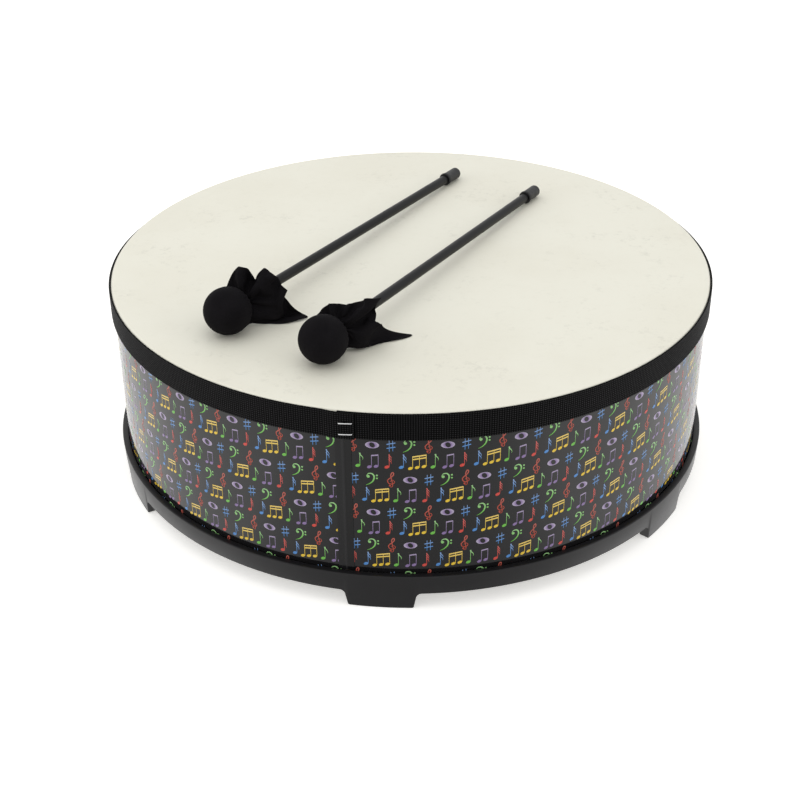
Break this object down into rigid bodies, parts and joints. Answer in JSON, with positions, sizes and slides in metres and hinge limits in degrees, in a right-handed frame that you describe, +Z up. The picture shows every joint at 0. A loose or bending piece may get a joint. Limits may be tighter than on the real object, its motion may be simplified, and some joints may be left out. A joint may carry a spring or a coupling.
{
  "type": "floor drum",
  "caption": "Low round floor drum with an ivory film head, a dark printed shell and a webbing band, standing in a footed ring, with cloth-headed mallets lying on the head.",
  "frame": {"origin": "on the floor below the centre of the drum", "axes": "+Z up out of the head; -Y towards the side that the picture is taken from, +X to its right"},
  "size_m": [0.5678, 0.5678, 0.2407],
  "materials": {
    "ring_plastic": "satin black moulded plastic",
    "shell_board": "bare fibreboard inside the drum",
    "wrap_film": "glossy charcoal film printed with small coloured music signs",
    "seam_film": "plain dark film strip",
    "head_film": "matt ivory film with faint grey fibre marks",
    "webbing": "black woven webbing",
    "staple_steel": "bright flat wire",
    "ball_rubber": "plain black rubber inside the cloth",
    "rod_fibre": "satin dark grey rod",
    "mallet_cloth": "black close-woven cloth",
    "tie_cord": "black cord",
    "cap_rubber": "satin black rubber"
  },
  "bodies": {
    "stand": {"foot_ring": "ring_plastic"},
    "drum": {"drum_shell": "shell_board", "printed_wrap": "wrap_film", "seam_strip": "seam_film", "drum_head": "head_film", "webbing_band": "webbing", "staple_upper": "staple_steel", "staple_lower": "staple_steel"},
    "left_mallet": {"left_mallet_core": "ball_rubber", "left_mallet_rod": "rod_fibre", "left_mallet_cloth": "mallet_cloth", "left_mallet_tie": "tie_cord", "left_mallet_cap": "cap_rubber"},
    "right_mallet": {"right_mallet_core": "ball_rubber", "right_mallet_rod": "rod_fibre", "right_mallet_cloth": "mallet_cloth", "right_mallet_tie": "tie_cord", "right_mallet_cap": "cap_rubber"}
  },
  "joints": [
    {"name": "drum_lift", "type": "slide", "parent": "stand", "child": "drum", "axis": [0, 0, 1], "range_m": [0, 0.2]},
    {"name": "left_mallet_lift", "type": "slide", "parent": "drum", "child": "left_mallet", "axis": [0, 0, 1], "range_m": [0, 0.3]},
    {"name": "right_mallet_lift", "type": "slide", "parent": "drum", "child": "right_mallet", "axis": [0, 0, 1], "range_m": [0, 0.3]}
  ]
}
